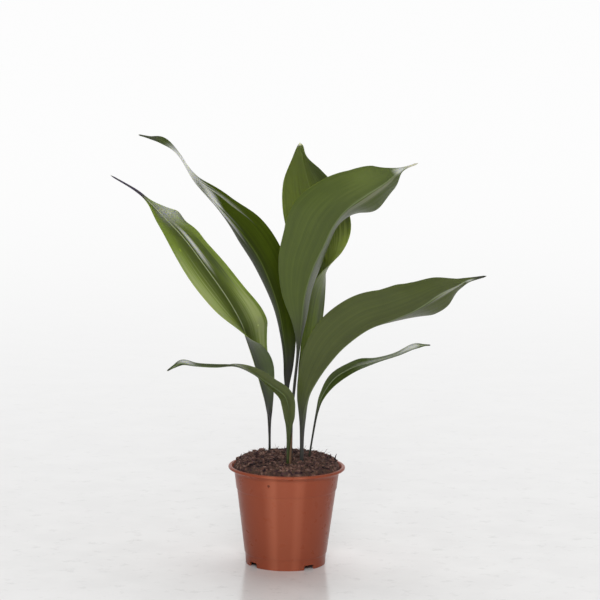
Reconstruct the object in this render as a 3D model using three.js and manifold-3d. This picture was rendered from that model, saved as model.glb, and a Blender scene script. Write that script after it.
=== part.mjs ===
// Potted cast iron plant: seven leathery leaves, each on its own stalk, in a heaped nursery pot.
// Millimetres, +Z up. The origin is the centre of the pot's base, on the ground, and -Y is the front.

import * as THREE from "three";
import { mergeVertices } from "three/addons/utils/BufferGeometryUtils.js";
import Module from "manifold-3d";

// Pot: injection-moulded plastic, 14 cm across the rim.
const rimRadius = 70;
const rimTop = 118.7;
const lipRound = 1.8;
const mouthRadius = 66.2;
const mouthBevel = 2.4;
const neckHeight = 108.5;
const neckRadius = 62.4;
const shoulderHeight = 90;
const shoulderRadius = 59.3;
const ledge = 0.9;
const ledgeHeight = 1.5;
const footRadius = 47.8;
const footBandTop = 12.5;
const footBandRadius = 48.6;
const wall = 1.4;
const roundSegments = 64;

// Underside: a flat pad in the middle, a raised channel with drain holes, and a notched foot ring.
const padRadius = 26;
const channelHeight = 6;
const channelDraft = 1.5;
const notchAngles = [36.5, 126.5, 216.5, 306.5];
const notchWidth = 14;
const notchHeight = 5.6;
const notchDepth = 12;
const drainRadius = 3.5;
const drainCount = 8;
const drainCircle = 36.5;

// Soil: heaped above the rim, with a lumpy top.
const clearance = 0.3;
const soilEdgeRadius = 64.2;
const soilEdgeHeight = 115.9;
const soilRise = 12.8;
const soilShoulder = 12;
const soilRings = 11;
const lumpHeight = 1.2;

// Leaf blades and stalks.
const bladeHalfThickness = 0.35;
const midribHalfThickness = 0.75;
const stalkRoundness = 0.9;
const stalkFoot = 100;
const tipHalfWidth = 0.6;
const stepsPerStation = 2;
const flatTurn = 1e-6;
const front = new THREE.Vector3(0, -1, 0);

// Every leaf is a list of stations from its foot in the soil to its tip. A station is
// [x, y, z of the midrib, half width, roll, rise of the left half, rise of the right half].
// Roll 0 turns the upper face to the front and roll 90 to +X. A rise is the angle, in degrees, at which
// that half of the blade climbs from the midrib, and a negative one falls back, so the blade is a ridge
// there instead of a trough. stalk is the station where the round stalk flattens out.
const leaves = {
  leaf_upper_left: {
    columns: 6, stalk: 2, wave: 0.8, waves: 3, phase: 0.5,
    stations: [
      [1, 8, stalkFoot, 1.9, 0, -10, -10],
      [1, 9, 172, 1.9, 0, -10, -10],
      [-1, 12, 208, 2.4, -10, -20, -20],
      [-2, 15, 238, 9, -20, -46, -38],
      [-6, 19, 270, 16, -26, -50, -42],
      [-14, 25, 309, 23, -26, -48, -38],
      [-33, 33, 356, 29, -26, -42, -36],
      [-57, 41, 391, 30, -26, -42, -34],
      [-84, 49, 421, 20, -36, -40, -30],
      [-115, 57, 451, 17, -76, -16, -20],
      [-136, 64, 483, 6.5, -98, -20, -20],
      [-155, 68, 500, 5, -145, -15, -15],
      [-171, 71, 504, 1.8, -170, -10, -10],
      [-185, 74, 507, 0.8, -175, -10, -10],
    ],
  },
  leaf_lower_left: {
    columns: 6, stalk: 1, wave: 1.0, waves: 4, phase: 0,
    stations: [
      [-21, 40, stalkFoot, 1.9, 30, 10, 10],
      [-22, 39, 160, 2.4, 50, 25, 25],
      [-26, 37, 185, 12, 88, 45, 45],
      [-33, 34, 210, 22, 95, 46, 46],
      [-41, 30, 238, 29, 95, 44, 44],
      [-50, 25, 266, 32, 76, 44, 44],
      [-58, 19, 289, 30, 44, 42, 42],
      [-75, 12, 320, 30, 12, 40, 40],
      [-99, 5, 355, 30, 2, 40, 40],
      [-124, 0, 389, 25, 0, 41, 39],
      [-148, -4, 415, 14, 6, 36, 14],
      [-166, -7, 434, 3.4, 5, 20, 20],
      [-182, -10, 448, 1.6, 0, 10, 10],
      [-212, -15, 466, 0.8, 0, 10, 10],
    ],
  },
  leaf_centre: {
    columns: 8, stalk: 3, wave: 1.2, waves: 4, phase: 1.0,
    stations: [
      [5, -10, stalkFoot, 1.7, 0, -10, -10],
      [5, -11, 176, 1.7, 0, -20, -20],
      [8, -12, 218, 1.8, 20, -25, -25],
      [12, -13, 261, 2.6, 40, -35, -25],
      [15, -15, 291, 11, 42, -45, -20],
      [19, -18, 328, 29, 40, -44, -35],
      [28, -22, 360, 44, 38, -43, -40],
      [40, -26, 387, 52, 42, -43, -40],
      [51, -30, 411, 54, 45, -43, -36],
      [66, -34, 431, 46, 38, -42, -31],
      [88, -38, 448, 37, 28, -36, -22],
      [111, -41, 464, 25, 30, -30, -25],
      [128, -43, 479, 4, 30, -20, -14],
      [148, -45, 488, 0.8, 0, -10, -10],
    ],
  },
  leaf_back: {
    columns: 6, stalk: 1, wave: 1.2, waves: 3, phase: 2.0,
    stations: [
      [18, 12, stalkFoot, 1.9, 0, 10, 10],
      [18, 20, 182, 2.6, -40, 20, 20],
      [21, 29, 224, 11, -80, 50, 50],
      [35, 38, 259, 25, -93, 52, 52],
      [41, 47, 298, 30, -92, 46, 46],
      [43, 56, 332, 36, -66, 42, 42],
      [41, 64, 362, 41, -22, 32, 34],
      [36, 72, 395, 43, -2, 24, 24],
      [28, 79, 428, 40, -6, 22, 24],
      [19, 85, 459, 30, -25, 25, 26],
      [13, 90, 484, 12, -38, 28, 28],
      [10, 93, 499, 1.2, -20, 10, 10],
    ],
  },
  leaf_right: {
    columns: 8, stalk: 1, wave: 1.0, waves: 4, phase: 0.3,
    stations: [
      [18, -27, stalkFoot, 2.4, 0, -10, -10],
      [18, -27, 167, 3.2, 15, -30, -36],
      [23, -27, 201, 12, 40, -45, -52],
      [33, -28, 223, 24, 45, -46, -52],
      [48, -29, 246, 37, 47, -45, -52],
      [67, -30, 268, 44, 50, -44, -51],
      [94, -32, 289, 45, 50, -43, -46],
      [122, -34, 301, 43, 52, -40, -28],
      [144, -36, 311, 39, 46, -38, -23],
      [160, -38, 321, 31, 35, -34, -18],
      [179, -40, 334, 23, 24, -30, -18],
      [197, -42, 344, 11, 30, -25, -25],
      [209, -43, 351, 3.6, 20, -15, -15],
      [231, -45, 357, 0.8, 0, -10, -10],
    ],
  },
  leaf_small_right: {
    columns: 4, stalk: 2, wave: 0.4, waves: 4, phase: 0,
    stations: [
      [22.5, -2, stalkFoot, 1.2, 0, 10, 10],
      [31, 0, 158, 1.2, 0, 10, 10],
      [36, 2, 186, 1.8, -10, 20, 20],
      [42, 4, 204, 4.4, -10, 32, 32],
      [56, 7, 224, 8.6, -8, 34, 34],
      [79, 12, 237, 8, -22, 32, 32],
      [104, 18, 243, 7.5, -72, 14, 14],
      [130, 23, 251, 8, -80, 5, 5],
      [150, 27, 260, 5, -55, 8, 8],
      [162, 29, 262, 1.6, -10, 10, 10],
      [171, 31, 262, 0.8, 0, 10, 10],
    ],
  },
  leaf_small_left: {
    columns: 4, stalk: 1, wave: 0.5, waves: 4, phase: 1.5,
    stations: [
      [2, -38, stalkFoot, 2.6, 0, 20, 20],
      [2, -38, 163, 2.8, 0, 30, 30],
      [2, -40, 189, 9, 3, 42, 42],
      [-3, -44, 210, 11.5, 12, 40, 40],
      [-20, -50, 224, 9.5, 40, 38, 38],
      [-40, -57, 239, 8, 60, 34, 34],
      [-61, -64, 249, 5.4, 88, 20, 20],
      [-84, -71, 249, 5, 125, 18, 18],
      [-106, -77, 251, 4.6, 130, 18, 18],
      [-122, -82, 255, 4.2, 155, 15, 15],
      [-132, -85, 251, 2.0, 170, 10, 10],
      [-140, -87, 246, 0.8, 175, 10, 10],
    ],
  },
};

// The dry scale leaf hugs the right side of the small left leaf's stalk and ends in a torn point.
const sheath = {
  columns: 6, stalk: -3, wave: 0, waves: 0, phase: 0,
  cup: 0, rib: bladeHalfThickness, holeEnd: 3,
  stations: [
    [5.4, -38, stalkFoot, 5, -90, 36, 36],
    [5.4, -38, 122, 5, -90, 36, 36],
    [5.5, -38, 140, 4.4, -90, 34, 34],
    [5.7, -38, 155, 3, -90, 26, 26],
    [6.2, -38, 166, 0.7, -90, 8, 8],
  ],
};

const wasm = await Module();
wasm.setup();

// A closed mesh as a manifold solid, with only its merged positions.
function solidFrom(geometry) {
  const bare = geometry.clone();
  bare.deleteAttribute("normal");
  bare.deleteAttribute("uv");
  const merged = mergeVertices(bare, 1e-4);
  return new wasm.Manifold(new wasm.Mesh({
    numProp: 3,
    vertProperties: new Float32Array(merged.attributes.position.array),
    triVerts: new Uint32Array(merged.index.array),
  }));
}

function geometryFrom(solid) {
  const mesh = solid.getMesh();
  const geometry = new THREE.BufferGeometry();
  geometry.setAttribute("position", new THREE.BufferAttribute(mesh.vertProperties, 3));
  geometry.setIndex(new THREE.BufferAttribute(mesh.triVerts, 1));
  geometry.computeVertexNormals();
  return geometry;
}

// Turns a profile of [radius, height] points about the +Z axis.
function turned(profile) {
  const points = profile.map(([radius, height]) => new THREE.Vector2(radius, height));
  const geometry = new THREE.LatheGeometry(points, roundSegments);
  return geometry.rotateX(Math.PI / 2);
}

// The stations read as one smooth run: a uniform Catmull-Rom through every column.
function between(stations, t) {
  const last = stations.length - 1;
  const low = Math.min(Math.max(Math.floor(t), 0), last - 1);
  const f = t - low;
  const at = (index, column) => {
    if (index < 0) return 2 * stations[0][column] - stations[1][column];
    if (index > last) return 2 * stations[last][column] - stations[last - 1][column];
    return stations[index][column];
  };
  return stations[0].map((_, column) => {
    const [a, b, c, d] = [-1, 0, 1, 2].map((step) => at(low + step, column));
    const slope = c - a;
    const bend = 2 * a - 5 * b + 4 * c - d;
    const twist = 3 * b - a - 3 * c + d;
    return 0.5 * (2 * b + slope * f + bend * f * f + twist * f * f * f);
  });
}

// One cross-section of a leaf at t: the points of its upper and its lower face from left to right.
// grow makes the section that much larger all round, for the hole that a stalk stands in.
function section(leaf, t, grow) {
  const { stations, columns, stalk, wave, waves, phase, cup = 0.75, rib = midribHalfThickness } = leaf;
  const last = stations.length - 1;
  const [x, y, z, width, rollDegrees, leftRise, rightRise] = between(stations, t);
  const halfWidth = Math.max(width, tipHalfWidth) + grow;
  const stalkHalf = Math.min(width, stations[0][3]) * stalkRoundness + grow;
  const step = 1e-3;
  const ahead = between(stations, Math.min(t + step, last));
  const behind = between(stations, Math.max(t - step, 0));
  const along = new THREE.Vector3(ahead[0] - behind[0], ahead[1] - behind[1], ahead[2] - behind[2]).normalize();
  const facing = front.clone().addScaledVector(along, -front.dot(along)).normalize();
  const sideways = new THREE.Vector3().crossVectors(along, facing);
  const roll = THREE.MathUtils.degToRad(rollDegrees);
  const up = facing.clone().multiplyScalar(Math.cos(roll)).addScaledVector(sideways, Math.sin(roll));
  const right = sideways.clone().multiplyScalar(Math.cos(roll)).addScaledVector(facing, -Math.sin(roll));
  const flat = THREE.MathUtils.smoothstep(t, stalk, stalk + 2);
  const upper = [];
  const lower = [];
  for (let column = 0; column <= columns; column++) {
    const s = (2 * column) / columns - 1;
    const side = s < 0 ? -1 : 1;
    const across = Math.abs(s);
    const rise = THREE.MathUtils.degToRad(s < 0 ? leftRise : rightRise);
    const start = rise * cup;
    const turn = rise * (2 - 2 * cup) || flatTurn;
    const angle = start + turn * across;
    const reach = (Math.sin(angle) - Math.sin(start)) / turn;
    const climb = (Math.cos(start) - Math.cos(angle)) / turn;
    const ripplePhase = (2 * Math.PI * waves * t) / last + phase + (side > 0 ? 2.2 : 0);
    const ripple = wave * across * across * Math.sin(ripplePhase) * Math.min(halfWidth / 20, 1);
    const middle = new THREE.Vector3(x, y, z)
      .addScaledVector(right, side * halfWidth * reach)
      .addScaledVector(up, halfWidth * climb + ripple);
    const out = up.clone().multiplyScalar(Math.cos(angle)).addScaledVector(right, -side * Math.sin(angle));
    const roundHalf = stalkHalf * Math.sqrt(1 - s * s);
    const bladeHalf = (across < 1e-9 ? rib : bladeHalfThickness) + grow;
    const half = Math.max(THREE.MathUtils.lerp(roundHalf, bladeHalf, flat), bladeHalfThickness + grow);
    upper.push(middle.clone().addScaledVector(out, half));
    lower.push(middle.clone().addScaledVector(out, -half));
  }
  return { upper, lower };
}

// Closes the sections from station 0 to station end into one body. The two faces are split alike.
function swept(leaf, end, grow = 0) {
  const rows = Math.round(end * stepsPerStation);
  const columns = leaf.columns;
  const points = [];
  for (let row = 0; row <= rows; row++) {
    const { upper, lower } = section(leaf, (end * row) / rows, grow);
    points.push(...upper, ...lower);
  }
  const stride = 2 * (columns + 1);
  const upper = (row, column) => row * stride + column;
  const lower = (row, column) => row * stride + columns + 1 + column;
  const faces = [];
  const quad = (a, b, c, d) => faces.push(a, b, c, a, c, d);
  for (let row = 0; row < rows; row++) {
    for (let column = 0; column < columns; column++) {
      const next = column + 1;
      quad(upper(row, column), upper(row, next), upper(row + 1, next), upper(row + 1, column));
      faces.push(lower(row, column), lower(row + 1, next), lower(row, next));
      faces.push(lower(row, column), lower(row + 1, column), lower(row + 1, next));
    }
    quad(lower(row, 0), upper(row, 0), upper(row + 1, 0), lower(row + 1, 0));
    quad(upper(row, columns), lower(row, columns), lower(row + 1, columns), upper(row + 1, columns));
  }
  for (let column = 0; column < columns; column++) {
    const next = column + 1;
    quad(lower(0, column), lower(0, next), upper(0, next), upper(0, column));
    quad(lower(rows, column), upper(rows, column), upper(rows, next), lower(rows, next));
  }
  const geometry = new THREE.BufferGeometry().setFromPoints(points);
  geometry.setIndex(faces);
  geometry.computeVertexNormals();
  return geometry;
}

// Points on an ellipse's arc, as [radius, height]. Angles in degrees, 0 outward and 90 up.
function arc([centreRadius, centreHeight], [across, up], from, to, steps) {
  return Array.from({ length: steps + 1 }, (_, index) => {
    const angle = THREE.MathUtils.degToRad(from + ((to - from) * index) / steps);
    return [centreRadius + across * Math.cos(angle), centreHeight + up * Math.sin(angle)];
  });
}

// The pot's inner wall from the rim down to the middle of the floor, moved inwards by a gap.
// The soil fills the same outline, a clearance smaller.
function innerOutline(gap) {
  const slope = (shoulderRadius - footBandRadius) / (shoulderHeight - footBandTop);
  const floorTop = channelHeight + wall;
  const floorEdge = footBandRadius + slope * (floorTop - footBandTop) - wall;
  const padEdge = padRadius - wall - gap;
  return [
    [neckRadius - gap, neckHeight + lipRound + mouthBevel],
    [neckRadius - wall - gap, neckHeight],
    [shoulderRadius - wall + ledge - gap, shoulderHeight + ledgeHeight],
    [shoulderRadius - wall - gap, shoulderHeight],
    [floorEdge - gap, floorTop + gap],
    [padEdge + channelDraft, floorTop + gap],
    [padEdge, wall + gap],
    [0, wall + gap],
  ];
}

function potGeometry() {
  const lipCentre = [rimRadius - lipRound, rimTop - lipRound];
  const coveCentre = [rimRadius - lipRound, neckHeight];
  const coveAcross = coveCentre[0] - neckRadius;
  const coveUp = rimTop - 2 * lipRound - neckHeight;
  const outline = [
    [0, 0],
    [padRadius, 0],
    [padRadius + channelDraft, channelHeight],
    [footRadius - wall - channelDraft, channelHeight],
    [footRadius - wall, 0],
    [footRadius, 0],
    [footBandRadius, footBandTop],
    [footBandRadius + ledge, footBandTop + ledgeHeight],
    [shoulderRadius, shoulderHeight],
    [shoulderRadius + ledge, shoulderHeight + ledgeHeight],
    ...arc(coveCentre, [coveAcross, coveUp], 180, 90, 5),
    ...arc(lipCentre, [lipRound, lipRound], -90, 90, 6).slice(1),
    [mouthRadius, rimTop],
    [mouthRadius - mouthBevel / 2, rimTop - mouthBevel],
    ...innerOutline(0),
  ];
  let pot = solidFrom(turned(outline));
  for (const degrees of notchAngles) {
    const notch = new THREE.BoxGeometry(notchWidth, notchDepth, 2 * notchHeight);
    notch.translate(0, -footRadius, 0);
    notch.rotateZ(THREE.MathUtils.degToRad(degrees));
    pot = pot.subtract(solidFrom(notch));
  }
  for (let index = 0; index < drainCount; index++) {
    const drain = new THREE.CylinderGeometry(drainRadius, drainRadius, 3 * wall, 12);
    drain.rotateX(Math.PI / 2);
    drain.translate(0, -drainCircle, channelHeight + wall / 2);
    drain.rotateZ((2 * Math.PI * (index + 0.5)) / drainCount);
    pot = pot.subtract(solidFrom(drain));
  }
  return geometryFrom(pot);
}

// The heap's height at a distance from the axis, before its lumps.
const heap = (radius) => soilEdgeHeight + soilRise * (1 - Math.pow(radius / soilEdgeRadius, soilShoulder));

const lumps = (x, y) => {
  const broad = Math.sin(0.31 * x + 0.5) * Math.cos(0.27 * y);
  const narrow = Math.sin(0.19 * x - 0.43 * y + 1.2) * Math.cos(0.52 * x + 0.17 * y);
  return lumpHeight * (broad + narrow);
};

function soilGeometry() {
  const profile = innerOutline(clearance).reverse();
  profile.push([soilEdgeRadius, soilEdgeHeight]);
  for (let ring = 1; ring <= soilRings; ring++) {
    const radius = soilEdgeRadius * (1 - Math.pow(ring / soilRings, 1.25));
    profile.push([radius, heap(radius)]);
  }
  const geometry = turned(profile);
  const position = geometry.attributes.position;
  for (let index = 0; index < position.count; index++) {
    const [x, y, z] = [position.getX(index), position.getY(index), position.getZ(index)];
    if (z > soilEdgeHeight + 0.5) position.setZ(index, z + lumps(x, y));
  }
  let soil = solidFrom(geometry);
  for (const stem of [...Object.values(leaves), sheath]) {
    const hole = swept(stem, stem.holeEnd ?? 1, clearance);
    hole.translate(0, 0, -clearance);
    soil = soil.subtract(solidFrom(hole));
  }
  return geometryFrom(soil);
}

function material(color, roughness) {
  return new THREE.MeshStandardMaterial({ color, roughness, metalness: 0 });
}

const leafColours = {
  leaf_upper_left: "#4f5c30",
  leaf_lower_left: "#6f8548",
  leaf_centre: "#5a6a3e",
  leaf_back: "#66783a",
  leaf_right: "#55663a",
  leaf_small_right: "#55633c",
  leaf_small_left: "#5f7238",
};

const plant = new THREE.Group();

function add(name, geometry, finish) {
  const mesh = new THREE.Mesh(geometry, finish);
  mesh.name = name;
  plant.add(mesh);
}

add("pot", potGeometry(), material("#954f3c", 0.45));
add("soil", soilGeometry(), material("#42302e", 1));
for (const [name, leaf] of Object.entries(leaves)) {
  add(name, swept(leaf, leaf.stations.length - 1), material(leafColours[name], 0.5));
}
add("sheath", swept(sheath, sheath.stations.length - 1), material("#5c4434", 0.9));

export default plant;
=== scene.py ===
"""Dresses the potted cast iron plant: fine leaves, crumbly soil, a moulded pot and a pale studio."""

import math
import random
from typing import NamedTuple

import bmesh
import bpy
from mathutils import Matrix, Vector, noise


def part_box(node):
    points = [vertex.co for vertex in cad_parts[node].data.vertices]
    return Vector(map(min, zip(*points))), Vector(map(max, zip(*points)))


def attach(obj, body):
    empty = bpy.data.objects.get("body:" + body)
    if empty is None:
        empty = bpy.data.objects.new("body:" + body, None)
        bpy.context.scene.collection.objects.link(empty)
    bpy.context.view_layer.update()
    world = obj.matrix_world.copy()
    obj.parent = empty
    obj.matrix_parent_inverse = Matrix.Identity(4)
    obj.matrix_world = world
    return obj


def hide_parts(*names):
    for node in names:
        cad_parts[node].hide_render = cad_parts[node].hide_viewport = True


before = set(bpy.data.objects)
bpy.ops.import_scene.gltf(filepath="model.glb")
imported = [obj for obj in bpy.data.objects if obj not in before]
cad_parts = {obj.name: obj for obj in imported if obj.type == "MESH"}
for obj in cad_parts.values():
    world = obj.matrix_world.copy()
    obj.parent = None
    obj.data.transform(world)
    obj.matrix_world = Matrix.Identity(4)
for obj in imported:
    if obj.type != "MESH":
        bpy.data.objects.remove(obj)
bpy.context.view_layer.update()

bl_info = {
    "name": "Potted Cast Iron Plant",
    "version": (1, 0, 0),
    "blender": (4, 5, 0),
    "location": "View3D > Sidebar > Plant",
    "description": "Models a cast iron plant in a plastic nursery pot, with its studio",
    "category": "Object",
}

MM = 0.001
FRONT = Vector((0, -1, 0))


class Mark(NamedTuple):
    """A soft oval on a blade where its colour changes. Most marks are painted light, shade or highlights.

    Its middle and half sizes are shares of the leaf, across from the left margin and along from the foot.
    turn is in degrees, and share says how far the colour takes over.
    """

    colour: str
    across: float
    along: float
    half_across: float
    half_along: float
    turn: float
    share: float


# What the marks show. The two kinds of sheen are painted highlights, where the wax of the real leaf shines.
# The pale green is painted glow of light that comes through the blade, with some painted sheen. SUNLIT is
# painted light and SHADED painted shade.
SHEEN = "#dcddd9"
DULL_SHEEN = "#a7a99f"
PAINTED_GLOW = "#b7c184"
SUNLIT = "#667431"
SHADED = "#3f4a2a"


class Leaf(NamedTuple):
    """One leaf. A station is x, y, z of the midrib, half width, roll, rise of the left and right half.

    Lengths are millimetres and angles degrees, as on the frame's own leaf. Roll 0 turns the upper face to
    the front and roll 90 to +X. A negative rise falls back from the midrib. stalk is the station where
    the round stalk starts to flatten.
    glow is how much light comes through the blade, and middle how much painted shade darkens it beside its
    midrib.
    stalk_end and tip_start are the shares of the leaf over which its colour leaves the stalk's and
    becomes the tip's. A kink is (station, side, reach in stations, how far the margin moves out).
    marks are laid over the whole leaf in order. gloss is the specular level of its wax.
    """

    piece: str
    stalk: float
    wave: float
    waves: float
    phase: float
    upper: str
    under: str
    rib: str
    foot: str
    tip: str
    glow: float
    middle: float
    stalk_end: tuple
    tip_start: tuple
    kinks: tuple
    marks: tuple
    stations: list
    gloss: float = 0.4


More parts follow.
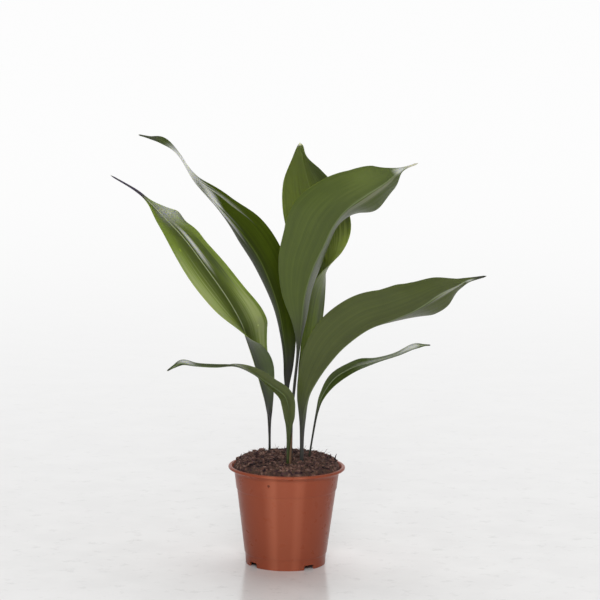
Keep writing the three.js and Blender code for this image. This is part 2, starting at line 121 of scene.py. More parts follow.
LEAVES = {
    "leaf_upper_left": Leaf(
        "upper_left_leaf", 2, 0.8, 3, 0.5, "#3f4c10", "#4b5632", "#5f6b3f", "#3a3a36", "#4c5140",
        0.25, 0.1, (0.2, 0.36), (0.84, 0.9), (),
        (
            # Painted shade over the left half, then painted highlights: the near-white oval at the narrow
            # neck is a painted highlight.
            Mark("#2f3718", 0.15, 0.47, 0.55, 0.36, 0, 1.0),
            Mark(DULL_SHEEN, 0.84, 0.63, 0.06, 0.07, 0, 0.6),
            Mark("#e8e9e4", 0.6, 0.745, 1.5, 0.095, 0, 0.95),
            Mark(SHEEN, 0.42, 0.63, 0.14, 0.11, 0, 0.8),
            Mark(SHEEN, 0.6, 0.645, 0.4, 0.03, 8, 0.8),
        ),
        [
            [1, 8, 100, 1.9, 0, -10, -10],
            [1, 9, 172, 1.9, 0, -10, -10],
            [-1, 12, 208, 2.4, -10, -20, -20],
            [-2, 15, 238, 9, -20, -46, -38],
            [-6, 19, 270, 16, -26, -50, -42],
            [-14, 25, 309, 23, -26, -48, -38],
            [-33, 33, 356, 29, -26, -42, -36],
            [-57, 41, 391, 30, -26, -42, -34],
            [-84, 49, 421, 20, -36, -40, -30],
            [-115, 57, 451, 17, -76, -16, -20],
            [-136, 64, 483, 6.5, -98, -20, -20],
            [-155, 68, 500, 5, -145, -15, -15],
            [-171, 71, 504, 1.8, -170, -10, -10],
            [-185, 74, 507, 0.8, -175, -10, -10],
        ],
        gloss=0.04,
    ),
    "leaf_lower_left": Leaf(
        "lower_left_leaf", 1, 1.0, 4, 0.0, "#7b8d3c", "#4c5a2e", "#b4bd96", "#3a3a36", "#453f4a",
        0.7, 0.9, (0.1, 0.24), (0.84, 0.9), ((9.9, 1, 0.22, 2.2), (9.45, 1, 0.2, -2.4), (9.0, 1, 0.2, 1.2)),
        (
            # The first six marks are painted glow where light comes through, painted shade and painted
            # highlights.
            Mark(PAINTED_GLOW, 0.08, 0.56, 0.3, 0.18, 0, 0.75),
            Mark(PAINTED_GLOW, 0.82, 0.45, 0.2, 0.17, 0, 0.8),
            Mark(SHADED, 0.77, 0.63, 0.13, 0.1, 0, 0.8),
            Mark(SHADED, 0.98, 0.745, 0.14, 0.04, 0, 0.9),
            Mark(DULL_SHEEN, 0.85, 0.785, 0.7, 0.08, 0, 0.75),
            Mark(SHEEN, 0.61, 0.675, 0.07, 0.085, -20, 0.85),
            Mark("#a9bd3c", 0.22, 0.683, 0.03, 0.008, 0, 0.8),
            Mark("#d6dc96", 0.8, 0.42, 0.02, 0.006, 0, 0.9),
        ),
        [
            [-21, 40, 100, 1.9, 30, 10, 10],
            [-22, 39, 160, 2.4, 50, 25, 25],
            [-26, 37, 185, 12, 88, 45, 45],
            [-33, 34, 210, 22, 95, 46, 46],
            [-41, 30, 238, 29, 95, 44, 44],
            [-50, 25, 266, 32, 76, 44, 44],
            [-58, 19, 289, 30, 44, 42, 42],
            [-75, 12, 320, 30, 12, 40, 40],
            [-99, 5, 355, 30, 2, 40, 40],
            [-124, 0, 389, 25, 0, 41, 39],
            [-148, -4, 415, 14, 6, 36, 14],
            [-166, -7, 434, 3.4, 5, 20, 20],
            [-182, -10, 448, 1.6, 0, 10, 10],
            [-212, -15, 466, 0.8, 0, 10, 10],
        ],
    ),
    "leaf_centre": Leaf(
        "centre_leaf", 3, 1.2, 4, 1.0, "#4a571f", "#4a5a2c", "#727f56", "#3a3a36", "#b9b6a4",
        0.3, 0.1, (0.18, 0.38), (0.93, 0.97), (),
        (
            # Painted light, painted shade, a grey painted sheen beside the midrib, and a painted highlight
            # near the tip.
            Mark(SUNLIT, 0.2, 0.79, 0.4, 0.12, 0, 0.5),
            Mark(SHADED, 0.68, 0.6, 0.12, 0.24, 0, 0.6),
            Mark("#93947c", 0.57, 0.81, 0.1, 0.18, 0, 0.5),
            Mark(SHEEN, 0.4, 0.925, 0.6, 0.04, 0, 0.7),
        ),
        [
            [5, -10, 100, 1.7, 0, -10, -10],
            [5, -11, 176, 1.7, 0, -20, -20],
            [8, -12, 218, 1.8, 20, -25, -25],
            [12, -13, 261, 2.6, 40, -35, -25],
            [15, -15, 291, 11, 42, -45, -20],
            [19, -18, 328, 29, 40, -44, -35],
            [28, -22, 360, 44, 38, -43, -40],
            [40, -26, 387, 52, 42, -43, -40],
            [51, -30, 411, 54, 45, -43, -36],
            [66, -34, 431, 46, 38, -42, -31],
            [88, -38, 448, 37, 28, -36, -22],
            [111, -41, 464, 25, 30, -30, -25],
            [128, -43, 479, 4, 30, -20, -14],
            [148, -45, 488, 0.8, 0, -10, -10],
        ],
    ),
    "leaf_back": Leaf(
        "back_leaf", 1, 1.2, 3, 2.0, "#626f2a", "#667530", "#6f7c3f", "#3a3a36", "#b0ad98",
        0.85, 0.1, (0.12, 0.28), (0.965, 0.99), ((9.2, 1, 0.6, 1.5), (10.0, 1, 0.4, -1.0)),
        (
            # Painted shade, a yellow-green painted glow where light comes through, painted shade, and a
            # painted highlight at the tip.
            Mark(SHADED, 0.9, 0.82, 0.4, 0.13, 0, 0.6),
            Mark("#9aa855", 0.95, 0.56, 0.5, 0.11, 0, 0.9),
            Mark(SHADED, 0.4, 0.38, 0.5, 0.12, 0, 0.6),
            Mark(SHEEN, 0.5, 0.99, 0.8, 0.02, 0, 0.8),
        ),
        [
            [18, 12, 100, 1.9, 0, 10, 10],
            [18, 20, 182, 2.6, -40, 20, 20],
            [21, 29, 224, 11, -80, 50, 50],
            [35, 38, 259, 25, -93, 52, 52],
            [41, 47, 298, 30, -92, 46, 46],
            [43, 56, 332, 36, -66, 42, 42],
            [41, 64, 362, 41, -22, 32, 34],
            [36, 72, 395, 43, -2, 24, 24],
            [28, 79, 428, 40, -6, 22, 24],
            [19, 85, 459, 30, -25, 25, 26],
            [13, 90, 484, 12, -38, 28, 28],
            [10, 93, 499, 1.2, -20, 10, 10],
        ],
    ),
    "leaf_right": Leaf(
        "right_leaf", 1, 1.0, 4, 0.3, "#495224", "#4a5a2c", "#727f56", "#3a3a36", "#34362a",
        0.3, 0.1, (0.06, 0.2), (0.93, 0.97), (),
        (
            Mark(DULL_SHEEN, 0.53, 0.83, 0.09, 0.14, 0, 0.7),
            Mark(SHEEN, 0.6, 0.93, 0.3, 0.03, 0, 0.5),
        ),
        [
            [18, -27, 100, 2.4, 0, -10, -10],
            [18, -27, 167, 3.2, 15, -30, -36],
            [23, -27, 201, 12, 40, -45, -52],
            [33, -28, 223, 24, 45, -46, -52],
            [48, -29, 246, 37, 47, -45, -52],
            [67, -30, 268, 44, 50, -44, -51],
            [94, -32, 289, 45, 50, -43, -46],
            [122, -34, 301, 43, 52, -40, -28],
            [144, -36, 311, 39, 46, -38, -23],
            [160, -38, 321, 31, 35, -34, -18],
            [179, -40, 334, 23, 24, -30, -18],
            [197, -42, 344, 11, 30, -25, -25],
            [209, -43, 351, 3.6, 20, -15, -15],
            [231, -45, 357, 0.8, 0, -10, -10],
        ],
    ),
    "leaf_small_right": Leaf(
        "small_right_leaf", 2, 0.4, 4, 0.0, "#445222", "#4a5628", "#8d9875", "#2f3228", "#4a4c3c",
        0.3, 0.2, (0.15, 0.3), (0.9, 0.98), (),
        (
            Mark(SHEEN, 0.4, 0.79, 0.7, 0.11, 0, 0.75),
            Mark(DULL_SHEEN, 0.4, 0.6, 0.2, 0.12, 0, 0.5),
        ),
        [
            [22.5, -2, 100, 1.2, 0, 10, 10],
            [31, 0, 158, 1.2, 0, 10, 10],
            [36, 2, 186, 1.8, -10, 20, 20],
            [42, 4, 204, 4.4, -10, 32, 32],
            [56, 7, 224, 8.6, -8, 34, 34],
            [79, 12, 237, 8, -22, 32, 32],
            [104, 18, 243, 7.5, -72, 14, 14],
            [130, 23, 251, 8, -80, 5, 5],
            [150, 27, 260, 5, -55, 8, 8],
            [162, 29, 262, 1.6, -10, 10, 10],
            [171, 31, 262, 0.8, 0, 10, 10],
        ],
    ),
    "leaf_small_left": Leaf(
        "small_left_leaf", 1, 0.5, 4, 1.5, "#565f33", "#434e2c", "#78875a", "#3f4a20", "#3a3d30",
        0.5, 0.2, (0.1, 0.22), (0.9, 0.98), (),
        (
            Mark(SHEEN, 0.25, 0.8, 0.35, 0.09, 0, 0.7),
            Mark(DULL_SHEEN, 0.65, 0.54, 0.4, 0.07, 0, 0.6),
        ),
        [
            [2, -38, 100, 2.6, 0, 20, 20],
            [2, -38, 163, 2.8, 0, 30, 30],
            [2, -40, 189, 9, 3, 42, 42],
            [-3, -44, 210, 11.5, 12, 40, 40],
            [-20, -50, 224, 9.5, 40, 38, 38],
            [-40, -57, 239, 8, 60, 34, 34],
            [-61, -64, 249, 5.4, 88, 20, 20],
            [-84, -71, 249, 5, 125, 18, 18],
            [-106, -77, 251, 4.6, 130, 18, 18],
            [-122, -82, 255, 4.2, 155, 15, 15],
            [-132, -85, 251, 2.0, 170, 10, 10],
            [-140, -87, 246, 0.8, 175, 10, 10],
        ],
    ),
}


def linear(hex_colour):
    """An sRGB hex colour as linear red, green, blue and alpha."""
    shares = [int(hex_colour[start:start + 2], 16) / 255 for start in (1, 3, 5)]
    channels = [c / 12.92 if c <= 0.04045 else ((c + 0.055) / 1.055) ** 2.4 for c in shares]
    return (*channels, 1.0)


def shade(hex_colour, factor):
    """The linear colour made darker or lighter."""
    red, green, blue, alpha = linear(hex_colour)
    return (min(red * factor, 1.0), min(green * factor, 1.0), min(blue * factor, 1.0), alpha)


def add_node(tree, kind, inputs=None, **settings):
    """Adds a node with its settings. inputs maps a socket to a value, to another node's output or to a node.

    A node stands for the first of its outputs that are in use.
    """
    node = tree.nodes.new(kind)
    for name, value in settings.items():
        setattr(node, name, value)
    for socket, value in (inputs or {}).items():
        if isinstance(value, bpy.types.Node):
            value = next(output for output in value.outputs if output.enabled)
        if isinstance(value, bpy.types.NodeSocket):
            tree.links.new(value, node.inputs[socket])
        else:
            node.inputs[socket].default_value = value
    return node


def new_material(name):
    """An empty material, its node tree and the object's own coordinates."""
    material = bpy.data.materials.new(name)
    material.use_nodes = True
    tree = material.node_tree
    tree.nodes.clear()
    return material, tree, add_node(tree, "ShaderNodeTexCoord").outputs["Object"]


def finish_material(tree, colour, height, strength, depth, values):
    """Ends a material: its colour, a bump from a height, and the other values of its shader."""
    bump = add_node(tree, "ShaderNodeBump", {"Strength": strength, "Distance": depth, "Height": height})
    shader = add_node(tree, "ShaderNodeBsdfPrincipled", {"Base Color": colour, "Normal": bump, **values})
    add_node(tree, "ShaderNodeOutputMaterial", {"Surface": shader})


class Layer(NamedTuple):
    """A colour to lay over another, and how much of it shows where a value is low and where it is high.

    The value is a node or a node's output.
    """

    value: bpy.types.bpy_struct
    low: float
    high: float
    at_low: float
    at_high: float
    colour: tuple
    easing: str = "SMOOTHSTEP"


def lay(tree, ground, layers):
    """Lays colours over the ground colour, one after the other."""
    for layer in layers:
        shown = add_node(tree, "ShaderNodeMapRange", {
            "Value": layer.value, "From Min": layer.low, "From Max": layer.high, "To Min": layer.at_low,
            "To Max": layer.at_high}, interpolation_type=layer.easing)
        ground = add_node(tree, "ShaderNodeMix", {
            "Factor": shown, "A": ground, "B": layer.colour}, data_type="RGBA")
    return ground


def smoothstep(value, low, high):
    """0 up to low, 1 from high, and smooth between."""
    share = min(max((value - low) / (high - low), 0.0), 1.0)
    return share * share * (3 - 2 * share)


def mesh_from(name, builder):
    """A mesh made from a bmesh, which is freed."""
    mesh = bpy.data.meshes.new(name)
    builder.to_mesh(mesh)
    builder.free()
    return mesh


def place_object(name, data):
    """A new object in the scene."""
    placed = bpy.data.objects.new(name, data)
    bpy.context.collection.objects.link(placed)
    return placed


def new_piece(name, builder, materials, *replaced, slot):
    """Makes one object from a bmesh and gives it to the frame."""
    mesh = mesh_from(name, builder)
    for material in materials:
        mesh.materials.append(material)
    piece = place_object(name, mesh)
    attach(piece, "root")
    if replaced:
        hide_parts(*replaced)
    return piece


def turn_outline(builder, outline, steps):
    """Turns an outline of (radius, height) in millimetres about the upright axis, with its seam closed."""
    verts = [builder.verts.new((radius * MM, 0, height * MM)) for radius, height in outline]
    edges = [builder.edges.new(pair) for pair in zip(verts, verts[1:])]
    bmesh.ops.spin(
        builder, geom=verts + edges, cent=(0, 0, 0), axis=(0, 0, 1), angle=math.tau, steps=steps,
        use_merge=True, use_duplicate=False)
    bmesh.ops.remove_doubles(builder, verts=builder.verts, dist=0.01 * MM)


def shade_smooth(mesh, sharp_degrees=180):
    """Smooth shading, broken at edges sharper than the angle."""
    mesh.polygons.foreach_set("use_smooth", [True] * len(mesh.polygons))
    if sharp_degrees < 180:
        mesh.set_sharp_from_angle(angle=math.radians(sharp_degrees))


# Leaves

# Form of a blade in millimetres: the midrib is a groove above and a ridge below.
GROOVE_DEPTH = 0.3
GROOVE_HALF_WIDTH = 0.9
RIDGE_HEIGHT = 0.7
RIDGE_HALF_WIDTH = 1.2
# Half width from which a blade folds and waves in full.
FULL_HALF_WIDTH = 20
LEAST_HALF_WIDTH = 0.3
# A leaf narrows to this share of its width over this many stations before its end.
TIP_SHARE = 0.3
TIP_REACH = 0.15
# A stalk's thickness as a share of its width, and the share of a half blade's rise at its midrib.
STALK_ROUNDNESS = 0.88
CUP = 0.75
# How far the right margin's waves run ahead of the left one's, in radians.
MARGIN_SHIFT = 2.2
# Corners of the mesh, and how much those across a leaf crowd at its midrib and margins, up to 1.
ROWS_PER_STATION = 12
BROAD_COLUMNS = 60
SLIM_COLUMNS = 32
CROWDING = 0.65


class Section(NamedTuple):
    """One section across a leaf: its station, midrib point, half width, directions, rises and distance."""

    t: float
    place: Vector
    width: float
    right: Vector
    up: Vector
    rises: tuple
    length: float


def between(stations, t):
    """The stations read as one smooth run: a uniform Catmull-Rom through every column."""
    last = len(stations) - 1
    low = min(max(math.floor(t), 0), last - 1)
    f = t - low
    before = [2 * a - b for a, b in zip(stations[0], stations[1])]
    after = [2 * a - b for a, b in zip(stations[last], stations[last - 1])]
    run = [before, *stations, after]
    values = []
    for a, b, c, d in zip(*run[low:low + 4]):
        bend = 2 * a - 5 * b + 4 * c - d
        twist = 3 * b - a - 3 * c + d
        values.append(0.5 * (2 * b + (c - a) * f + bend * f * f + twist * f ** 3))
    return values


def blade_sections(stations, rows):
    """The sections of a leaf or scale, evenly spaced in stations from its foot to its tip."""
    last = len(stations) - 1
    sections = []
    length = 0.0
    for row in range(rows + 1):
        t = last * row / rows
        x, y, z, width, roll, left, right_rise = between(stations, t)
        ahead = Vector(between(stations, min(t + 0.001, last))[:3])
        behind = Vector(between(stations, max(t - 0.001, 0))[:3])
        along = (ahead - behind).normalized()
        facing = (FRONT - along * FRONT.dot(along)).normalized()
        sideways = along.cross(facing)
        turn = math.radians(roll)
        up = facing * math.cos(turn) + sideways * math.sin(turn)
        right = sideways * math.cos(turn) - facing * math.sin(turn)
        place = Vector((x, y, z))
        if sections:
            length += (place - sections[-1].place).length
        rises = (math.radians(left), math.radians(right_rise))
        sections.append(Section(t, place, max(width, LEAST_HALF_WIDTH), right, up, rises, length))
    return sections


def curl(section, s, cup):
    """How far out and up a margin has bent at s from -1 to 1, in half widths, and its outward normal.

    cup is the share of the rise that the blade has at its midrib. The rest comes evenly to the margin.
    """
    side = -1 if s < 0 else 1
    rise = section.rises[0 if s < 0 else 1]
    start = cup * rise
    bend = (2 - 2 * cup) * rise or 1e-6
    angle = start + bend * abs(s)
    reach = (math.sin(angle) - math.sin(start)) / bend
    climb = (math.cos(start) - math.cos(angle)) / bend
    normal = section.up * math.cos(angle) - section.right * (side * math.sin(angle))
    return side * reach, climb, normal


def leaf_width(leaf, section, s):
    """The half width at a section, narrowed to a point at the tip and moved where the margin is kinked."""
    last = len(leaf.stations) - 1
    width = section.width * (TIP_SHARE + (1 - TIP_SHARE) * smoothstep(last - section.t, 0, TIP_REACH))
    for station, side, reach, out in leaf.kinks:
        if side * s > 0:
            width += out * abs(s) * math.exp(-((section.t - station) / reach) ** 2)
    return width


def leaf_point(leaf, section, s, face, settings):
    """A point of the leaf's skin in millimetres. face is 1 for the upper side and -1 for the underside.

    The round stalk flattens into a thin blade. Soft folds run along the blade, each of its own height, and
    fade at the midrib and margins. The margins wave.
    """
    across = abs(s)
    width = leaf_width(leaf, section, s)
    reach, climb, normal = curl(section, s, CUP)
    last = len(leaf.stations) - 1
    narrow = min(width / FULL_HALF_WIDTH, 1)
    flat = smoothstep(section.t, leaf.stalk, leaf.stalk + 2)
    cycle = math.tau * leaf.waves * section.t / last + leaf.phase + (MARGIN_SHIFT if s >= 0 else 0)
    ripple = leaf.wave * across ** 2 * math.sin(cycle) * narrow
    spot = Vector((s * width / (settings.fold_spacing / MM), 0.35 * section.t, 7.0 * leaf.phase))
    fold = settings.fold_height / MM * noise.noise(spot) * narrow * flat
    fold *= smoothstep(across, 0.02, 0.15) * (1 - smoothstep(across, 0.85, 1))
    middle = section.place + section.right * (width * reach) + section.up * (width * climb + ripple + fold)
    from_rib = across * width
    groove = -GROOVE_DEPTH * math.exp(-(from_rib / GROOVE_HALF_WIDTH) ** 2)
    ridge = RIDGE_HEIGHT * math.exp(-(from_rib / RIDGE_HALF_WIDTH) ** 2)
    ridge *= smoothstep(last - section.t, 0, 3)
    blade = (settings.blade_thickness / MM / 2 + (groove if face > 0 else ridge)) * (1 - across ** 12) ** 0.5
    stalk = STALK_ROUNDNESS * min(width, leaf.stations[0][3]) * (1 - across ** 2) ** 0.5
    half = (1 - flat) * stalk + flat * min(blade, 0.8 * width)
    return middle + normal * (face * half)


def blade_grid(columns, rows):
    """A flat grid that will be rolled round the sections, first over the upper face and back below."""
    builder = bmesh.new()
    bmesh.ops.create_grid(builder, x_segments=2 * columns, y_segments=rows, size=0.5)
    return builder


def rolled(co):
    """Where a grid corner goes: s from -1 to 1 across, and the face. Corners crowd at midrib and margins."""
    share = co.x + 0.5
    face = 1 if share < 0.5 else -1
    s = 4 * share - 1 if share < 0.5 else 3 - 4 * share
    eased = 0.5 - 0.5 * math.cos(math.pi * min(abs(s), 1.0))
    return math.copysign((1 - CROWDING) * abs(s) + CROWDING * eased, s), face


def close_blade(builder, rows, row_of):
    """Joins the rolled grid's seam and draws each of its ends to a point."""
    for end_row in (0, rows):
        end = [vert for vert in builder.verts if row_of[vert] == end_row]
        middle = sum((vert.co for vert in end), Vector()) / len(end)
        bmesh.ops.pointmerge(builder, verts=end, merge_co=middle)
    bmesh.ops.remove_doubles(builder, verts=builder.verts, dist=0.002 * MM)
    bmesh.ops.recalc_face_normals(builder, faces=builder.faces)


def leaf_mesh(node, leaf, columns, rows, settings):
    """A closed leaf. Its map "share" runs over the blade, and "real" holds metres from midrib and foot."""
    low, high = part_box(node)
    builder = blade_grid(columns, rows)
    share = builder.loops.layers.uv.new("share")
    real = builder.loops.layers.uv.new("real")
    sections = blade_sections(leaf.stations, rows)
    row_of = {vert: round((vert.co.y + 0.5) * rows) for vert in builder.verts}
    for face in builder.faces:
        face.smooth = True
        face.material_index = 0 if face.calc_center_median().x < 0 else 1
        for loop in face.loops:
            s, _ = rolled(loop.vert.co)
            section = sections[row_of[loop.vert]]
            loop[share].uv = ((s + 1) / 2, loop.vert.co.y + 0.5)
            loop[real].uv = (s * section.width * MM, section.length * MM)
    for vert, row in row_of.items():
        s, face = rolled(vert.co)
        # Folds and waves stay inside the box of the plain leaf.
        spot = leaf_point(leaf, sections[row], s, face, settings) * MM
        vert.co = [min(max(value, least), most) for value, least, most in zip(spot, low, high)]
    close_blade(builder, rows, row_of)
    return builder


def mark_layer(tree, mark, share, fray):
    """The layer of one mark, with its edge frayed along the streaks."""
    oval = add_node(tree, "ShaderNodeMapping", {
        "Vector": share, "Location": (mark.across, mark.along, 0),
        "Rotation": (0, 0, math.radians(mark.turn)),
        "Scale": (mark.half_across, mark.half_along, 1)}, vector_type="TEXTURE")
    out = add_node(tree, "ShaderNodeVectorMath", {0: oval}, operation="LENGTH")
    frayed = add_node(tree, "ShaderNodeMath", {0: fray, 1: 2.4, 2: out}, operation="MULTIPLY_ADD")
    return Layer(frayed, 1.3, 2.2, mark.share, 0.0, linear(mark.colour))


def leaf_finish(name, blade, rib, leaf, settings):
    """Living leaf of a cast iron plant: leathery and waxed, with fine veins side by side.

    The wax gives a soft gloss, and painted highlights in the pale marks add to it; the veins give a silky
    grain along the blade.
    It is thin enough that light from behind glows through it in a yellower green.
    """
    material, tree, place = new_material(name)
    share = add_node(tree, "ShaderNodeUVMap", uv_map="share")
    real = add_node(tree, "ShaderNodeUVMap", uv_map="real")
    shares = add_node(tree, "ShaderNodeSeparateXYZ", {"Vector": share})
    metres = add_node(tree, "ShaderNodeSeparateXYZ", {"Vector": real})
    across, along = shares.outputs["X"], shares.outputs["Y"]

    # Streaks between the veins, about 4 mm wide on a broad blade and drawn out along it.
    drawn = add_node(tree, "ShaderNodeMapping", {"Vector": share, "Scale": (24, 1.1, 1)})
    streaks = add_node(tree, "ShaderNodeTexNoise", {
        "Vector": drawn, "Scale": 1.0, "Detail": 4.0, "Roughness": 0.6})
    # Streaks and veins run together where the blade narrows to its tip.
    broad = add_node(tree, "ShaderNodeMapRange", {
        "Value": along, "From Min": leaf.tip_start[0] - 0.2, "From Max": leaf.tip_start[0] - 0.05,
        "To Min": 1.0, "To Max": 0.0})
    fray = add_node(tree, "ShaderNodeMix", {"Factor": broad, "A": 0.5, "B": streaks})
    # Veins 1 to 2 mm apart on a broad blade, drawn coarser than the real ones so that they show.
    turns = add_node(tree, "ShaderNodeMath", {
        0: across, 1: settings.vein_count * math.tau}, operation="MULTIPLY")
    bent = add_node(tree, "ShaderNodeMath", {0: streaks, 1: 9.0, 2: turns}, operation="MULTIPLY_ADD")
    waves = add_node(tree, "ShaderNodeMath", {0: bent}, operation="SINE")
    veins = add_node(tree, "ShaderNodeMath", {0: waves, 1: broad}, operation="MULTIPLY")
    # Clouds of darker green, 3 to 5 cm wide.
    clouds = add_node(tree, "ShaderNodeTexNoise", {"Vector": place, "Scale": 24.0, "Detail": 2.0})
    # Painted shade beside the midrib, up to halfway out, where the groove is in shade and less light comes
    # through the thicker tissue.
    halfway = add_node(tree, "ShaderNodeMath", {0: across, 1: 0.5}, operation="SUBTRACT")
    outward = add_node(tree, "ShaderNodeMath", {0: halfway}, operation="ABSOLUTE")
    from_rib = add_node(tree, "ShaderNodeMath", {0: metres.outputs["X"]}, operation="ABSOLUTE")

    coloured = lay(tree, shade(blade, 0.82), [
        Layer(fray, 0.35, 0.65, 0.0, 1.0, shade(blade, 1.18), "LINEAR"),
        Layer(clouds, 0.4, 0.75, 0.0, 0.45, shade(blade, 0.7), "LINEAR"),
        Layer(veins, 0.2, 1.0, 0.0, 0.2, shade(blade, 1.6), "LINEAR"),
        Layer(outward, 0.04, 0.4, leaf.middle, 0.0, shade(blade, 0.3)),
        Layer(from_rib, 0.3 * MM, 1.2 * MM, 0.7, 0.0, linear(rib)),
        Layer(along, *leaf.stalk_end, 1.0, 0.0, linear(leaf.foot)),
        Layer(along, *leaf.tip_start, 0.0, 1.0, linear(leaf.tip)),
        *[mark_layer(tree, mark, share, fray) for mark in leaf.marks],
    ])

    # The skin's own grain, about 1 mm.
    skin = add_node(tree, "ShaderNodeTexNoise", {"Vector": place, "Scale": 900.0, "Detail": 2.0})
    relief = add_node(tree, "ShaderNodeMath", {0: veins, 1: 0.7, 2: skin}, operation="MULTIPLY_ADD")
    wear = add_node(tree, "ShaderNodeMapRange", {
        "Value": streaks, "From Min": 0.3, "From Max": 0.7, "To Min": 0.34, "To Max": 0.44})
    finish_material(tree, coloured, relief, 0.3, 0.1 * MM, {
        "Roughness": wear, "IOR": 1.45, "Specular IOR Level": leaf.gloss, "Subsurface Weight": leaf.glow,
        "Subsurface Radius": (0.7, 0.8, 0.2), "Subsurface Scale": MM})
    return material


class LeafSettings(bpy.types.PropertyGroup):
    """Sizes that all the leaves share."""

    blade_thickness: bpy.props.FloatProperty(
        name="Blade thickness", description="Thickness of a blade away from its midrib",
        default=0.6 * MM, min=0.2 * MM, unit="LENGTH", precision=5)
    fold_spacing: bpy.props.FloatProperty(
        name="Fold spacing", description="Rough distance between the soft folds along a blade",
        default=4.5 * MM, min=MM, unit="LENGTH", precision=4)
    fold_height: bpy.props.FloatProperty(
        name="Fold height", description="How far a fold rises from its blade",
        default=0.25 * MM, min=0.0, unit="LENGTH", precision=5)
    vein_count: bpy.props.IntProperty(
        name="Veins", description="Veins across a whole blade", default=60, min=2)


class PLANT_OT_leaves(bpy.types.Operator):
    """Grow the leaves, each with its stalk"""

    bl_idname = "plant.leaves"
    bl_label = "Leaves"

    def execute(self, context):
        settings = context.scene.plant_leaves
        for node, leaf in LEAVES.items():
            widest = max(station[3] for station in leaf.stations)
            columns = BROAD_COLUMNS if widest > FULL_HALF_WIDTH else SLIM_COLUMNS
            materials = [
                leaf_finish(f"waxed upper face, {leaf.piece}", leaf.upper, leaf.rib, leaf, settings),
                leaf_finish(f"dull underside, {leaf.piece}", leaf.under, leaf.rib, leaf, settings),
            ]
            rows = ROWS_PER_STATION * (len(leaf.stations) - 1)
            builder = leaf_mesh(node, leaf, columns, rows, settings)
            new_piece(leaf.piece, builder, materials, node, slot="leaf_blade")
        return {"FINISHED"}


# Dry scale leaf

# Stations like a leaf's.
SHEATH = [
    [5.4, -38, 100, 5, -90, 36, 36],
    [5.4, -38, 122, 5, -90, 36, 36],
    [5.5, -38, 140, 4.4, -90, 34, 34],
    [5.7, -38, 155, 3, -90, 26, 26],
    [6.2, -38, 166, 0.7, -90, 8, 8],
]
# Its skin in millimetres, how many ribs each half has, and how much of its width is torn away at most.
SHEATH_HALF_THICKNESS = 0.28
SHEATH_RIB = 0.05
SHEATH_RIBS = 4.5
RAGGED_SHARE = 0.12
SHEATH_COLUMNS = 20
SHEATH_ROWS = 70


def sheath_mesh(columns, rows):
    """A thin curled scale with a ragged margin, round the foot of the small left leaf's stalk."""
    builder = blade_grid(columns, rows)
    sections = blade_sections(SHEATH, rows)
    row_of = {vert: round((vert.co.y + 0.5) * rows) for vert in builder.verts}
    for vert, row in row_of.items():
        section = sections[row]
        s, face = rolled(vert.co)
        across = abs(s)
        reach, climb, normal = curl(section, s, 0)
        tear = noise.noise(Vector((0.35 * section.place.z, 3 * s, 4.0)))
        ragged = 1 - RAGGED_SHARE * across * tear
        ribs = SHEATH_RIB * math.sin(SHEATH_RIBS * math.tau * across) * (1 - across)
        half = SHEATH_HALF_THICKNESS * (1 - across ** 10) ** 0.5 + ribs
        out = section.right * (section.width * ragged * reach) + section.up * (section.width * climb)
        vert.co = (section.place + out + normal * (face * half)) * MM
    close_blade(builder, rows, row_of)
    return builder


def scale_finish():
    """Dead scale leaf: thin, brown and papery, with darker fibres along it. Matt."""
    material, tree, place = new_material("dry papery leaf scale")
    # Fibres about 0.7 mm wide and 2 cm long.
    drawn = add_node(tree, "ShaderNodeMapping", {"Vector": place, "Scale": (1500, 1500, 60)})
    fibres = add_node(tree, "ShaderNodeTexNoise", {"Vector": drawn, "Scale": 1.0, "Detail": 4.0})
    coloured = lay(tree, linear("#3a2a20"), [
        Layer(fibres, 0.0, 1.0, 0.0, 1.0, linear("#8a6a4e"), "LINEAR")])
    finish_material(tree, coloured, fibres, 0.5, 0.2 * MM, {"Roughness": 0.75, "IOR": 1.45})
    return material


class PLANT_OT_sheath(bpy.types.Operator):
    """Wrap the dry scale leaf round the small left leaf's stalk"""

    bl_idname = "plant.sheath"
    bl_label = "Dry scale leaf"

    def execute(self, context):
        builder = sheath_mesh(SHEATH_COLUMNS, SHEATH_ROWS)
        piece = new_piece("dry_scale", builder, [scale_finish()], "sheath", slot="dry_sheath")
        shade_smooth(piece.data)
        return {"FINISHED"}


# Soil

# The heap in millimetres. The shoulder is the power that makes it flat in the middle and steep outside.
SOIL_EDGE_RADIUS = 64.2
SOIL_EDGE_HEIGHT = 115.9
SOIL_RISE = 12.8
SOIL_SHOULDER = 12
SOIL_TOP = 132.5
SOIL_RINGS = 70
SOIL_SEGMENTS = 200
# The flat height that the heap is raised from, and its hidden edge inside the pot as radius and height.
SOIL_BLANK = 120
SOIL_SKIRT = [(62.0, 112.5), (60.6, 108.5), (58.0, 95.0), (0.0, 95.0)]

# Twigs that stand up from the soil: foot, direction, length and thickness, in millimetres.
TWIGS = [
    ((52, -3, 125), (0.15, -0.1, 1), 9, 1.0),
    ((56, -1, 123), (0.45, 0, 1), 11, 0.9),
    ((49, -6, 126), (-0.3, -0.2, 1), 7, 0.8),
    ((-57, 1, 122), (0.3, 0, 1), 10, 1.1),
    ((-60, -2, 119), (-0.1, 0, 1), 8, 0.8),
    ((-31, 40, 127), (0.5, 0, 1), 6, 0.5),
]

# Crumbs: smallest size and spread in millimetres, how they are drawn out along, across and up, how far
# they tilt, how uneven their corners are, how high they lie, and how far from the heap's edge they stay.
SMALLEST_CRUMB = 0.35
CRUMB_SPREAD = 2.0
CRUMB_STRETCH = ((0.8, 2.2), (0.6, 1.0), (0.4, 0.8))
CRUMB_TILT = 0.4
CRUMB_ROUGHNESS = 0.3
CRUMB_LIFT = 0.2
CRUMB_MARGIN = 1.5
